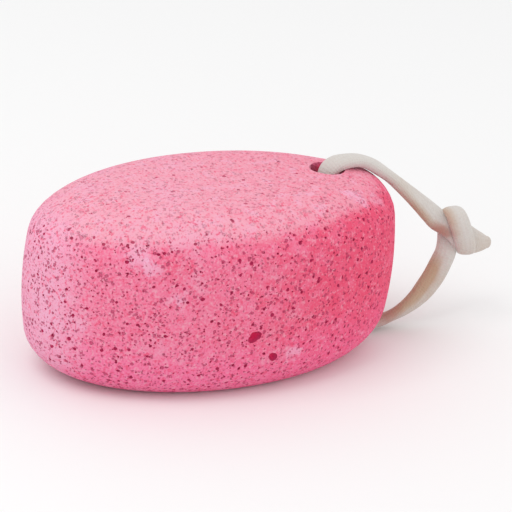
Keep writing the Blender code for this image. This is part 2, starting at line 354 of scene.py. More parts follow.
class Finish:
    """A material that is put together node by node."""

    def __init__(self, name, roughness):
        self.material = bpy.data.materials.new(name)
        self.material.use_nodes = True
        self.tree = self.material.node_tree
        self.shader = self.tree.nodes["Principled BSDF"]
        self.shader.inputs["Roughness"].default_value = roughness
        self.colour = None

    def node(self, kind, settings=None, sockets=None, output=0):
        """Adds a node, sets it up, fills its sockets and gives back one of its outputs."""
        item = self.tree.nodes.new(kind)
        for name, value in (settings or {}).items():
            setattr(item, name, value)
        for key, value in (sockets or {}).items():
            if isinstance(value, Signal):
                self.tree.links.new(value.socket, item.inputs[key])
            else:
                item.inputs[key].default_value = value
        return Signal(self, item.outputs[output])

    def feed(self, name, signal):
        """Links a signal to one of the shader's sockets."""
        self.tree.links.new(signal.socket, self.shader.inputs[name])

    def object_place(self):
        """Object coordinates, in metres."""
        return self.node("ShaderNodeTexCoord", output="Object")

    def part(self, vector, axis):
        """One of a vector's three numbers."""
        return self.node("ShaderNodeSeparateXYZ", None, {"Vector": vector}, axis)

    def stored(self, name):
        """A number that is kept for each vertex."""
        return self.node("ShaderNodeAttribute", {"attribute_name": name}, output="Fac")

    def scaled(self, place, size):
        """Coordinates in units of a size in metres."""
        return self.node(
            "ShaderNodeVectorMath", {"operation": "SCALE"}, {0: place, "Scale": 1.0 / size})

    def noise(self, place, size, detail=2.0, roughness=0.5, output=0):
        """Soft noise from 0 to 1 whose lumps have about a size in metres."""
        sockets = {"Vector": self.scaled(place, size), "Scale": 1.0, "Detail": detail,
                   "Roughness": roughness}
        return self.node("ShaderNodeTexNoise", None, sockets, output)

    def sine(self, signal):
        """The sine of a signal."""
        return self.node("ShaderNodeMath", {"operation": "SINE"}, {0: signal})

    def step(self, signal, low, high):
        """Runs smoothly from 0 to 1 as a signal passes from one level to another."""
        return self.node(
            "ShaderNodeMapRange", {"interpolation_type": "SMOOTHSTEP"},
            {"Value": signal, "From Min": low, "From Max": high})

    def blend(self, share, first, second):
        """Mixes two colours by a share."""
        return self.node(
            "ShaderNodeMix", {"data_type": "RGBA"}, {0: share, 6: first, 7: second}, output=2)

    def paint(self, share, colour):
        """Lays a colour over the colour so far, as far as a share goes."""
        self.colour = self.blend(share, self.colour, colour)

    def emboss(self, height, distance):
        """Gives the surface a relief by a height of 0 to 1 that stands for a distance in metres."""
        sockets = {"Height": height, "Distance": distance, "Strength": 1.0}
        self.feed("Normal", self.node("ShaderNodeBump", None, sockets))


# The cord

LINE_STEP = 0.5 * MM
SECTION_STEPS = 28
SECTION_FULLNESS = 2.4          # 2 is an ellipse, more is squarer
CAP_STEPS = 6
CAP_BULGE = 1.1                 # length of a rounded tip, in half thicknesses


def smooth_rows(stops):
    """Rows of place, facing, width and thickness along a smooth curve through the stops."""
    rows = np.array([(*np.multiply(place, MM), *facing, width * MM, thick * MM)
                     for place, facing, width, thick in stops])
    padded = np.vstack((2 * rows[0] - rows[1], rows, 2 * rows[-1] - rows[-2]))
    line = [rows[0]]
    for before, start, end, after in zip(padded, padded[1:], padded[2:], padded[3:]):
        pieces = max(1, round(np.linalg.norm((end - start)[:3]) / LINE_STEP))
        for piece in range(1, pieces + 1):
            share = piece / pieces
            line.append(0.5 * (
                2 * start + (end - before) * share
                + (2 * before - 5 * start + 4 * end - after) * share ** 2
                + (3 * start - before - 3 * end + after) * share ** 3))
    return np.array(line)


def section_rings(line):
    """Centres, ways ahead, half-width and half-thickness vectors of the cord's sections."""
    centres = line[:, :3]
    ahead = unit(np.gradient(centres, axis=0))
    facing = line[:, 3:6]
    facing = unit(facing - ahead * (facing * ahead).sum(axis=1, keepdims=True))
    across = np.cross(ahead, facing)
    return centres, ahead, across * line[:, 6:7] / 2, facing * line[:, 7:8] / 2


def with_cap(centres, ahead, wide, thick, at_start, is_round):
    """The rings with a cap at one end: a rounded tip, or a flat end."""
    index = 0 if at_start else -1
    sign = -1 if at_start else 1
    bulge = np.linalg.norm(thick[index]) * CAP_BULGE if is_round else 0.0
    extra = []
    for step in range(1, CAP_STEPS + 1):
        bend = math.pi / 2 * step / CAP_STEPS
        size = math.cos(bend) if is_round else 1 - step / CAP_STEPS
        extra.append((
            centres[index] + sign * ahead[index] * bulge * math.sin(bend),
            wide[index] * size, thick[index] * size))
    caps = [np.array(rows) for rows in zip(*extra)]
    if at_start:
        return [np.vstack((cap[::-1], body)) for cap, body in zip(caps, (centres, wide, thick))]
    return [np.vstack((body, cap)) for cap, body in zip(caps, (centres, wide, thick))]


NO_LENGTH = 0.001 * MM          # keeps the middle of a cap from a division by nothing
SEAM_GAP = 0.002 * MM           # corners nearer than this are one
TUBE_CREASE = math.radians(50)


def make_tube(name, rings, first_round, last_round, start_along):
    """A closed tube through the rings. Its UV map holds the way along, in metres, and around."""
    centres, ahead, wide, thick = rings
    ends = ahead[0], ahead[-1]
    centres, wide, thick = with_cap(centres, ends, wide, thick, True, first_round)
    centres, wide, thick = with_cap(centres, ends, wide, thick, False, last_round)
    start_piece()
    bpy.ops.mesh.primitive_grid_add(
        x_subdivisions=len(centres) - 1, y_subdivisions=SECTION_STEPS, size=2, calc_uvs=True)
    tube = added(name)
    grid = (vertex_places(tube.data)[:, :2] + 1) / 2
    ring = np.rint(grid[:, 0] * (len(centres) - 1)).astype(int)
    turn = grid[:, 1] * 2 * math.pi
    power = 2 / SECTION_FULLNESS
    sideways = np.sign(np.cos(turn)) * np.abs(np.cos(turn)) ** power
    outwards = np.sign(np.sin(turn)) * np.abs(np.sin(turn)) ** power
    from_centre = wide[ring] * sideways[:, None] + thick[ring] * outwards[:, None]
    set_vertex_places(tube.data, centres[ring] + from_centre)
    lengths = np.linalg.norm(from_centre, axis=1, keepdims=True) + NO_LENGTH
    store(tube, "facing", from_centre / lengths)
    layer = tube.data.uv_layers[0].data
    uvs = np.empty(len(layer) * 2)
    layer.foreach_get("uv", uvs)
    uvs = uvs.reshape(-1, 2)
    rings_along = uvs[:, 0] * (len(centres) - 1)
    uvs[:, 0] = np.interp(rings_along, np.arange(len(centres)), way_along(centres)) + start_along
    layer.foreach_set("uv", uvs.ravel())
    close_tube()
    return tube


def close_tube():
    """Joins the tube's long seam and its tips and turns its faces outwards."""
    bpy.ops.object.mode_set(mode="EDIT")
    bpy.ops.mesh.select_all(action="SELECT")
    bpy.ops.mesh.remove_doubles(threshold=SEAM_GAP)
    bpy.ops.mesh.normals_make_consistent(inside=False)
    bpy.ops.object.mode_set(mode="OBJECT")
    bpy.ops.object.shade_smooth_by_angle(angle=TUBE_CREASE)


RIM_PLACE = np.array((33.2, 0.0, 46.5)) * MM
RIM_SINK = 0.65 * MM
RIM_REACH = 4.2 * MM


def settled(line):
    """The cord's line, lying a little lower on the worn rim of the hole than its route does."""
    line[:, 2] -= RIM_SINK * nearness(line[:, :3], RIM_PLACE, RIM_REACH)
    return line


def cord_runs():
    """The rings of the knot's two strands and of the loop between them, and where each starts."""
    line = settled(smooth_rows(FRONT_STRAND + LOOP + BACK_STRAND))
    places = line[:, :3]
    begin, end = (
        int(np.linalg.norm(places - np.multiply(stop[0], MM), axis=1).argmin())
        for stop in (LOOP[0], LOOP[-1]))
    along = way_along(places)
    rings = section_rings(line)
    spans = {"front": (0, begin), "loop": (begin, end), "back": (end, len(line) - 1)}
    return {
        name: ([part[first:last + 1] for part in rings], along[first])
        for name, (first, last) in spans.items()}


# Where the cotton gets painted shade, a painted reflection of the pink stone and some soil,
# from the photograph. A pair holds the heights, or the places along x,
# between which a share runs from 0 to 1.
LOOP_MIDDLE = np.array((50.0, 0.0, 22.0)) * MM
FACING_SPREAD = 0.25            # how far round from the stone's side the painted shade goes
LOW_SHADE_HEIGHTS = 24 * MM, 14 * MM
HELD_HEIGHTS = 26 * MM, 30 * MM
RED_HEIGHTS = 21.5 * MM, 24 * MM
OUTSIDE_STONE = 40 * MM, 56 * MM
PAST_KNOT = 66 * MM, 71 * MM
HELD_X, HELD_REACH = 51 * MM, 7 * MM    # where fingers hold the upper strand
KNOT_FOOT, KNOT_FOOT_REACH = np.array((65.5, -1.0, 21.0)) * MM, 6.4 * MM
KNOT_CORNER, KNOT_CORNER_REACH = np.array((61.8, -1.5, 23.6)) * MM, 5.0 * MM
STONE_CORNER, STONE_CORNER_REACH = np.array((49.0, -1.5, 3.0)) * MM, 6.0 * MM


def store_soil_and_shade(cord):
    """Stores painted shade and a painted reflection of the stone (towards the stone and low down),
    finger soil, and where it is red.
    """
    places = vertex_places(cord.data)
    across, height = places[:, 0], places[:, 2]
    outwards = np.array([item.vector[:] for item in cord.data.attributes["facing"].data])
    # the side that faces the stone gets painted shade and a painted reflection of the pink stone
    facing = (outwards * unit(LOOP_MIDDLE - places)).sum(axis=1)
    facing = np.clip(facing + FACING_SPREAD, 0.0, 1.0)
    low, past_knot = ramp(height, *LOW_SHADE_HEIGHTS), ramp(across, *PAST_KNOT)
    held = np.exp(-((across - HELD_X) / HELD_REACH) ** 2) * ramp(height, *HELD_HEIGHTS)
    # near the knot's foot the painted shade is lighter
    less_shade = 1 - 0.86 * nearness(places, KNOT_FOOT, KNOT_FOOT_REACH)
    # painted shade on the side facing the stone, and more of it low down
    soil_and_shade = facing * 0.78 + low * (0.42 + 0.16 * facing)
    soil_and_shade = soil_and_shade * ramp(across, *OUTSIDE_STONE) * less_shade + 0.34 * held
    soil_and_shade = soil_and_shade * (1 - 0.6 * past_knot) + 0.24 * past_knot
    store(cord, "soil_and_shade", np.clip(soil_and_shade, 0.0, 1.0))
    # dye in the knot's corner, partly a painted reflection of the stone
    in_knot = nearness(places, KNOT_CORNER, KNOT_CORNER_REACH)
    in_knot *= np.clip(facing + 0.3, 0.0, 1.0) * ramp(height, *RED_HEIGHTS)
    # a painted reflection of the pink stone where the cord runs close under it
    stone_reflection = 0.75 * nearness(places, STONE_CORNER, STONE_CORNER_REACH)
    store(cord, "red", np.maximum(in_knot, stone_reflection))


BRAID_PLAITS = 8                # crossings of the braid around the cord
FLUFF = 0.30 * MM               # sizes of the fluff and of the clouds in the stains
COTTON_CLOUDS = 2.6 * MM
COTTON_RELIEF = 0.14 * MM


def cord_finish(colours, sizes):
    """Soft cream cotton with a fine flat braid, with painted shade and a painted reflection of the
    stone on its stone side, and some soil.
    """
    finish = Finish("cream_cotton_cord", 0.92)
    place = finish.object_place()
    chart = finish.node("ShaderNodeTexCoord", output="UV")
    lay = finish.part(chart, 0) * (2 * math.pi / sizes.braid)
    turn = finish.part(chart, 1) * (2 * math.pi * BRAID_PLAITS)
    plait = finish.step(finish.sine(lay + turn) * finish.sine(lay - turn), -0.7, 0.9)
    fluff = finish.noise(place, FLUFF, 4.0, 0.65)
    cloudy = finish.noise(place, COTTON_CLOUDS, 3.0)
    finish.colour = colours.cream
    # painted shade and a painted reflection of the stone, with some soil, in the shade colour
    finish.paint(
        finish.step(finish.stored("soil_and_shade") + (cloudy - 0.5) * 0.35, 0.05, 0.95), colours.shade)
    # red: dye in the knot's corner and a painted reflection of the stone
    finish.paint(
        finish.step(finish.stored("red") + (cloudy - 0.5) * 0.2, 0.2, 0.95) * 0.8, colours.red)
    # painted shade in the braid's grooves and the fluff's hollows
    finish.paint((1 - plait) * 0.08 + finish.step(fluff, 0.55, 0.30) * 0.14, colours.shade)
    finish.feed("Base Color", finish.colour)
    finish.emboss(plait * 0.4 + fluff * 0.9 + cloudy * 1.4, COTTON_RELIEF)
    for name, value in (
            ("Sheen Weight", 0.35), ("Sheen Roughness", 0.6), ("Specular IOR Level", 0.2)):
        finish.shader.inputs[name].default_value = value
    return finish.material


class OBJECT_OT_pumice_cord(Operator):
    """Builds the loop of cotton cord"""

    bl_idname = "object.pumice_cord"
    bl_label = "Cord Loop"

    def execute(self, context):
        sizes = context.scene.cord_sizes
        rings, start_along = cord_runs()["loop"]
        loop = make_tube("cord_loop_soft", rings, False, False, start_along)
        store_soil_and_shade(loop)
        loop.data.materials.append(cord_finish(context.scene.cord_colours, sizes))
        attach(loop, BODY)
        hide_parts("cord_loop")
        return {"FINISHED"}


class OBJECT_OT_pumice_knot(Operator):
    bl_idname = "object.pumice_knot"
    bl_label = "Knot"

    def execute(self, context):
        runs = cord_runs()
        back = make_tube("knot_back_strand", runs["back"][0], False, True, runs["back"][1])
        knot = make_tube("knot", runs["front"][0], True, False, runs["front"][1])
        make_active(knot)
        back.select_set(True)
        bpy.ops.object.join()
        store_soil_and_shade(knot)
        knot.data.materials.clear()
        knot.data.materials.append(bpy.data.materials["cream_cotton_cord"])
        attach(knot, BODY)
        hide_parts("cord_knot", "cord_end_front", "cord_end_back")
        return {"FINISHED"}


# The stone

def reach_at(sizes, height):
    """The stone's radius along its length at a height."""
    swell = sizes.bulge * (2 * height / sizes.height - 1) ** 2
    reach = sizes.length / 2 - swell
    if height > sizes.height - sizes.top_drop:
        lift = (height - sizes.height + sizes.top_drop) / sizes.top_drop
        reach -= sizes.top_run * (1 - math.sqrt(max(0.0, 1 - lift * lift)))
    if height < sizes.foot_rise:
        drop = 1 - height / sizes.foot_rise
        reach -= sizes.foot_run * (1 - math.sqrt(max(0.0, 1 - drop * drop)))
    return reach


def stone_outline(sizes, steps=40):
    """Radius and height down the stone's side, as an array, from the middle of the top."""
    bends = [math.pi / 2 * step / steps for step in range(steps + 1)]
    wall = sizes.height - sizes.top_drop - sizes.foot_rise
    heights = [sizes.height - sizes.top_drop * (1 - math.cos(bend)) for bend in bends]
    heights += [sizes.foot_rise + wall * (1 - step / steps) for step in range(1, steps)]
    heights += [sizes.foot_rise * (1 - math.cos(bend)) for bend in reversed(bends)]
    rows = [(0.0, sizes.height)]
    rows += [(reach_at(sizes, height), height) for height in heights]
    rows.append((0.0, 0.0))
    return np.array(rows)


SHOULDER_PLACE = np.array((39.5, 0.0, 42.0)) * MM
SHOULDER_LIFT = np.array((0.6, 0.0, 1.2)) * MM
SHOULDER_REACH = 8 * MM


def fuller(places):
    """Places moved out on the shoulder under the cord, which swells past the even form."""
    return places + SHOULDER_LIFT * nearness(places, SHOULDER_PLACE, SHOULDER_REACH)[..., None]


SEGMENTS = 144                  # faces around the smooth form
RINGS = 72                      # and from the middle of its top to the middle of its underside


def smooth_places(sizes, share, turn):
    """Places on the smooth form, a share of the way down its outline and a turn around it."""
    outline = stone_outline(sizes)
    along = way_along(outline)
    radius, height = (np.interp(share * along[-1], along, column) for column in outline.T)
    narrow = sizes.width / sizes.length
    return fuller(np.stack(
        (radius * np.cos(turn), radius * np.sin(turn) * narrow, height), axis=-1))


def make_smooth_form(sizes, name):
    """A ball, shaped ring by ring to the stone's outline."""
    start_piece()
    bpy.ops.mesh.primitive_uv_sphere_add(segments=SEGMENTS, ring_count=RINGS, radius=1.0)
    form = added(name)
    places = vertex_places(form.data)
    share = np.arccos(np.clip(places[:, 2], -1.0, 1.0)) / math.pi
    turn = np.arctan2(places[:, 1], places[:, 0])
    set_vertex_places(form.data, smooth_places(sizes, share, turn))
    return form


def smooth_triangles(sizes):
    """The smooth form as triangles whose order isn't a mesh's, which can differ from run to run."""
    share, turn = np.meshgrid(
        np.linspace(0.0, 1.0, RINGS + 1), np.linspace(0.0, 2 * math.pi, SEGMENTS + 1),
        indexing="ij")
    net = smooth_places(sizes, share, turn)
    first, second, third, fourth = net[:-1, :-1], net[1:, :-1], net[1:, 1:], net[:-1, 1:]
    halves = (first, second, third), (first, third, fourth)
    return np.concatenate([np.stack(half, axis=2).reshape(-1, 3, 3) for half in halves])


def cut_with(body, cutter, solver="EXACT"):
    """Takes a cutter's form out of a body and removes the cutter."""
    apply_modifier(body, "BOOLEAN", operation="DIFFERENCE", solver=solver, object=cutter)
    bpy.data.objects.remove(cutter, do_unlink=True)


CUTTER_SIDES = 48
LIP_X = 29.4 * MM               # the cord has worn the hole's mouth on the side it bends over
LIP_RADIUS = 4.4 * MM
LIP_FLOOR_RADIUS = 2.0 * MM
LIP_DEPTH = 2.6 * MM
CHANNEL_WIDTH = 5.0 * MM
CHANNEL_DEPTH = 5.0 * MM
CHANNEL_ROUNDING = 2.2 * MM
CHANNEL_BEVEL_STEPS = 6
CHANNEL_END_X = 52.0 * MM
CHANNEL_TURN = math.radians(-4)
OVERRUN = 3.0 * MM              # how far a cutter stands out of the stone


def cut_hole(body, sizes):
    """Drills the hole, wears its mouth and cuts the cord's channel under the stone."""
    start_piece()
    bpy.ops.mesh.primitive_cylinder_add(
        vertices=CUTTER_SIDES, radius=sizes.hole_radius, depth=sizes.height + 2 * OVERRUN,
        location=(sizes.hole_place, 0.0, sizes.height / 2))
    cut_with(body, added("hole_drill"))

    start_piece()
    slope = (LIP_RADIUS - LIP_FLOOR_RADIUS) / LIP_DEPTH
    bpy.ops.mesh.primitive_cone_add(
        vertices=CUTTER_SIDES, radius1=LIP_FLOOR_RADIUS, radius2=LIP_RADIUS + slope * OVERRUN,
        depth=LIP_DEPTH + OVERRUN,
        location=(LIP_X, 0.0, sizes.height - LIP_DEPTH + (LIP_DEPTH + OVERRUN) / 2))
    cut_with(body, added("lip"))

    start_piece()
    length = CHANNEL_END_X - sizes.hole_place
    bpy.ops.mesh.primitive_cube_add(size=1.0)
    channel = added("channel")
    channel.scale = (length, CHANNEL_WIDTH, CHANNEL_DEPTH + OVERRUN)
    channel.location = (length / 2, 0.0, (CHANNEL_DEPTH - OVERRUN) / 2)
    place_in_mesh(channel)
    for edge in channel.data.edges:
        ends = [channel.data.vertices[index].co for index in edge.vertices]
        edge.select = all(end.z > 0 for end in ends) and ends[0].y * ends[1].y > 0
    bpy.ops.object.mode_set(mode="EDIT")
    bpy.ops.mesh.bevel(
        offset=CHANNEL_ROUNDING, segments=CHANNEL_BEVEL_STEPS, profile=0.5, affect="EDGES")
    bpy.ops.object.mode_set(mode="OBJECT")
    channel.rotation_euler.z = CHANNEL_TURN
    channel.location.x = sizes.hole_place
    cut_with(body, channel)


# Pits at the same places as in the stone's solid: those seen in the photograph, then seeded ones
CHOSEN_PITS = (
    # turn around the oval in degrees, height, radius
    (-92, 16.8 * MM, 1.5 * MM),
    (-85, 10.5 * MM, 1.2 * MM),
    (-163, 40.0 * MM, 0.55 * MM),
    (-150, 35.6 * MM, 0.5 * MM),
    (-134, 40.0 * MM, 0.6 * MM),
    (-131, 21.0 * MM, 0.5 * MM),
    (-134, 8.5 * MM, 0.5 * MM),
    (-72, 28.3 * MM, 0.65 * MM),
    (-64, 25.9 * MM, 0.6 * MM),
    (-48, 22.1 * MM, 0.6 * MM),
    (-78, 38.4 * MM, 0.6 * MM),
    (-57, 36.1 * MM, 0.55 * MM),
    (-47, 36.9 * MM, 0.5 * MM),
)
PIT_COUNT = 195
PIT_RADIUS_LEAST = 0.5 * MM
PIT_RADIUS_MOST = 1.0 * MM
PIT_SPACING = 0.8 * MM
PIT_SINK = 0.25                 # share of the radius by which a pit's centre lies outside
PIT_SHARE_ON_TOP = 0.14
PIT_SHARE_BELOW = 0.24
PIT_SEED = 11
REST_PATCH = 15 * MM            # radius around the origin without pits
COARSE_SHOWN = 0.68             # share of a seeded pit's radius that shows here
PROBE = 0.02 * MM               # steps for a direction on the surface: up it, and around it
PROBE_TURN = 0.001


def surface_place(sizes, turn, height):
    """The point of the stone's side at a turn around the oval and a height."""
    reach = reach_at(sizes, height)
    narrow = sizes.width / sizes.length
    return Vector((reach * math.cos(turn), reach * math.sin(turn) * narrow, height))


def surface_normal(sizes, turn, height):
    """The outward direction there, from two short steps along the surface."""
    low, high = max(height - PROBE, 0.0), min(height + PROBE, sizes.height)
    around = (surface_place(sizes, turn + PROBE_TURN, height)
              - surface_place(sizes, turn - PROBE_TURN, height))
    up = surface_place(sizes, turn, high) - surface_place(sizes, turn, low)
    return around.cross(up).normalized()


def random_place(sizes, source):
    """A seeded place and its outward direction, on the top, the side or the underside."""
    top_edge, foot_edge = reach_at(sizes, sizes.height), reach_at(sizes, 0.0)
    turn = source.uniform(0.0, 2 * math.pi)
    share = source.random()
    if share < PIT_SHARE_ON_TOP:
        edge, height, out = top_edge, sizes.height, 1.0
    elif share < PIT_SHARE_ON_TOP + PIT_SHARE_BELOW:
        edge, height, out = foot_edge, 0.0, -1.0
    else:
        height = source.uniform(PIT_RADIUS_LEAST, sizes.height - PIT_RADIUS_LEAST)
        return surface_place(sizes, turn, height), surface_normal(sizes, turn, height)
    radius = edge * math.sqrt(source.random())
    narrow = sizes.width / sizes.length
    place = Vector((radius * math.cos(turn), radius * math.sin(turn) * narrow, height))
    return place, Vector((0.0, 0.0, out))


def is_clear(sizes, place, radius, taken):
    """Whether a pit leaves the hole, the channel, the rest patch and the other pits alone."""
    spare = radius + PIT_SPACING
    if place.z < REST_PATCH and place.xy.length < REST_PATCH + spare:
        return False
    if math.hypot(place.x - LIP_X, place.y) < LIP_RADIUS + spare:
        return False
    in_channel = place.x > sizes.hole_place and abs(place.y) < CHANNEL_WIDTH + spare
    if in_channel and place.z < CHANNEL_DEPTH + 2 * spare:
        return False
    return all((place - other).length > size + spare for other, size in taken)


def coarse_pits(sizes):
    """The pits of the stone's solid, each as place, outward direction, radius and sink."""
    source = random.Random(PIT_SEED)
    pits, taken = [], []

    def add(place, outward, radius, shown):
        pits.append((Vector(fuller(np.array(place))), outward, radius * shown, PIT_SINK))
        taken.append((place, radius))

    for degrees, height, radius in CHOSEN_PITS:
        spot = sizes, math.radians(degrees), height
        add(surface_place(*spot), surface_normal(*spot), radius, 1.0)
    while len(pits) < PIT_COUNT + len(CHOSEN_PITS):
        place, outward = random_place(sizes, source)
        radius = PIT_RADIUS_LEAST + (PIT_RADIUS_MOST - PIT_RADIUS_LEAST) * source.random() ** 2
        if is_clear(sizes, place, radius, taken):
            add(place, outward, radius, COARSE_SHOWN)
    return pits


NEIGHBOURS = tuple(itertools.product((-1, 0, 1), repeat=3))


class SpaceGrid:
    """Keeps balls apart: finds quickly whether a new ball would touch one that is there."""

    def __init__(self, cell):
        self.cell = cell
        self.cells = {}

    def key(self, place):
        return tuple(int(math.floor(value / self.cell)) for value in place)

    def is_free(self, place, radius, gap):
        x, y, z = self.key(place)
        for aside in NEIGHBOURS:
            for other, size in self.cells.get((x + aside[0], y + aside[1], z + aside[2]), ()):
                if (place - other).length < radius + size + gap:
                    return False
        return True

    def take(self, place, radius):
        self.cells.setdefault(self.key(place), []).append((place, radius))


FINE_SEED = 23
FINE_BATCH = 2000               # places drawn at a time
FINE_GAP = 0.10 * MM            # stone left between two fine pits
FINE_CELL = 2 * PIT_RADIUS_MOST + FINE_GAP + 1.2 * MM
FINE_BIAS = 2.2                 # more than 1 makes small ones more common than large ones
TOP_UPWARD = 0.75               # how far up a face looks that counts as top
TOP_SHARE = 0.42                # share of the fine pits that the rubbed top keeps
TOP_SIZE = 0.82                 # and how large they are beside the others
FINE_SINK, TOP_SINK = 0.15, 0.45


def fine_pits(sizes, taken):
    """Seeded small pits, evenly thick over the whole surface and fewer and shallower on top."""
    source = np.random.default_rng(FINE_SEED)
    corners = smooth_triangles(sizes)
    start, aside, onward = (
        corners[:, 0], corners[:, 1] - corners[:, 0], corners[:, 2] - corners[:, 0])
    sides = np.cross(aside, onward)
    areas = np.linalg.norm(sides, axis=1)
    grid = SpaceGrid(FINE_CELL)
    for place, _, radius, _ in taken:
        grid.take(place, radius)
    pits = []
    while len(pits) < sizes.small_pits:
        index = source.choice(len(areas), p=areas / areas.sum(), size=FINE_BATCH)
        first, second = source.random((2, FINE_BATCH, 1))
        outside = first + second > 1
        first, second = np.where(outside, 1 - first, first), np.where(outside, 1 - second, second)
        spots = start[index] + first * aside[index] + second * onward[index]
        for spot, side, luck, size in zip(spots, sides[index], *source.random((2, FINE_BATCH))):
            outward = Vector(side).normalized()
            is_top = outward.z > TOP_UPWARD
            if is_top and luck > TOP_SHARE:
                continue
            spread = sizes.fine_most - sizes.fine_least
            radius = sizes.fine_least + spread * size ** FINE_BIAS
            radius *= TOP_SIZE if is_top else 1.0
            place = Vector(spot)
            if len(pits) < sizes.small_pits and grid.is_free(place, radius, FINE_GAP):
                grid.take(place, radius)
                pits.append((place, outward, radius, TOP_SINK if is_top else FINE_SINK))
    return pits


LOBE_SEED = 5
LOBE_SHARES = (0.5, 0.2)        # share of the pits with a second ball, and with a third
LOBE_SIZES = (0.5, 0.85)        # a lobe's radius and its place off the middle, in pit radii
LOBE_REACHES = (0.75, 1.25)
LARGE_PIT_REACH = 0.5


def lobes_on(pits, source, share, grid):
    """Smaller balls on the rims of some of the pits, which make them long or forked."""
    lobes = []
    for place, outward, radius, sink in pits:
        if source.random() > share and radius < PIT_RADIUS_MOST:
            continue
        aside = outward.orthogonal().normalized()
        aside.rotate(Quaternion(outward, source.uniform(0, 2 * math.pi)))
        size = radius * source.uniform(*LOBE_SIZES)
        is_large = radius >= PIT_RADIUS_MOST
        reach = LARGE_PIT_REACH if is_large else source.uniform(*LOBE_REACHES)
        spot = place + aside * radius * reach
        if grid.is_free(spot, size, FINE_GAP):
            grid.take(spot, size)
            lobes.append((spot, outward, size, sink))
    return lobes


BALLS = {}                      # places and faces of a round ball, by its fineness
BALL_ROUGHNESS = {1: 0.28, 2: 0.16, 3: 0.16}
BALL_ROUGH_MIDDLE = 0.6
BALL_SQUASH = {1: 0.7, 2: 0.7, 3: 0.95}
FINER_FROM = PIT_RADIUS_LEAST - 0.05 * MM


def make_balls():
    """Round balls of three finenesses, kept as arrays of places and faces."""
    for detail in BALL_SQUASH:
        start_piece()
        bpy.ops.mesh.primitive_ico_sphere_add(subdivisions=detail, radius=1.0)
        ball = added("ball")
        BALLS[detail] = (
            vertex_places(ball.data), np.array([face.vertices[:] for face in ball.data.polygons]))
        bpy.data.objects.remove(ball, do_unlink=True)


def cut_pits(body, pits, source):
    """Takes a rough ball for each pit out of the stone. None of them may touch another."""
    cells, faces, base = [], [], 0
    for place, outward, radius, sink in pits:
        detail = 3 if radius > PIT_RADIUS_MOST else 2 if radius > FINER_FROM else 1
        ball, ball_faces = BALLS[detail]
        rough = BALL_ROUGHNESS[detail] * (source.random((len(ball), 1)) - BALL_ROUGH_MIDDLE)
        least = BALL_SQUASH[detail]
        shape = ball * (1 + rough) * (1.0, source.uniform(least, 1.0), source.uniform(least, 1.0))
        turn = np.array(Quaternion(source.normal(size=4)).normalized().to_matrix())
        shape = shape @ turn.T * radius + np.array(place + outward * radius * sink)
        cells.append(shape)
        faces.append(ball_faces + base)
        base += len(ball)
    mesh = bpy.data.meshes.new("pit_balls")
    mesh.from_pydata(np.concatenate(cells).tolist(), [], np.concatenate(faces).tolist())
    cutter = bpy.data.objects.new("pit_balls", mesh)
    bpy.context.scene.collection.objects.link(cutter)
    cut_with(body, cutter, "MANIFOLD")


STONE_CREASE = math.radians(38)
CORNER_SOFTNESS = 0.02 * MM     # evens out the directions of a face's corners near one of them


class OBJECT_OT_pumice_body(Operator):
    """Builds the pitted stone"""

    bl_idname = "object.pumice_body"
    bl_label = "Pumice Stone"

    def execute(self, context):
        sizes = context.scene.pumice_sizes
        form = make_smooth_form(sizes, "smooth_form")
        body = make_smooth_form(sizes, "stone")
        cut_hole(body, sizes)
        make_balls()
        coarse = coarse_pits(sizes)
        pits = coarse + fine_pits(sizes, coarse)
        source = np.random.default_rng(LOBE_SEED)
        cut_pits(body, pits, source)
        for share in LOBE_SHARES:
            cut_pits(body, lobes_on(pits, source, share, SpaceGrid(2 * PIT_RADIUS_MOST)), source)
        make_active(body)
        bpy.ops.object.shade_smooth_by_angle(angle=STONE_CREASE)
        write_surface(body, form)
        bpy.data.objects.remove(form, do_unlink=True)
        body.data.materials.clear()
        body.data.materials.append(stone_finish(context.scene.pumice_colours))
        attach(body, BODY)
        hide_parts("pumice_stone")
        return {"FINISHED"}


def write_surface(body, form):
    """Stores how deep each point lies under the smooth form, in mm, and how far up that faces."""
    corners = [tuple(face.vertices) for face in form.data.polygons]
    tree = BVHTree.FromPolygons([vertex.co for vertex in form.data.vertices], corners)
    depth, upward = np.zeros((2, len(body.data.vertices)))
    for index, vertex in enumerate(body.data.vertices):
        spot, _, face, away = tree.find_nearest(vertex.co)
        nearby = [form.data.vertices[corner] for corner in corners[face]]
        shares = [1 / ((corner.co - spot).length + CORNER_SOFTNESS) for corner in nearby]
        lift = sum(corner.normal.z * share for corner, share in zip(nearby, shares))
        depth[index] = away / MM
        upward[index] = lift / sum(shares)
    store(body, "depth", depth)
    store(body, "upward", upward)


SPECK_STRAY_SIZE = 0.45         # size and strength of the noise that frays the specks, in cells
SPECK_STRAY = 0.75


def specks(finish, place, cell, least, most):
    """Irregular specks, a cell's size apart, with radii between two shares of a cell."""
    stray = finish.noise(place, cell * SPECK_STRAY_SIZE, output="Color")
    shifted = finish.node(
        "ShaderNodeVectorMath", {"operation": "MULTIPLY_ADD"},
        {0: stray, 1: (SPECK_STRAY,) * 3, 2: finish.scaled(place, cell)})
    spots = {"Vector": shifted, "Scale": 1.0}
    distance = finish.node("ShaderNodeTexVoronoi", None, spots, output="Distance")
    luck = finish.node("ShaderNodeTexVoronoi", None, spots, output="Color")
    size = finish.node("ShaderNodeSeparateColor", None, {"Color": luck}, output="Red")
    return finish.step(size * (most - least) + least - distance, -0.02, 0.09)


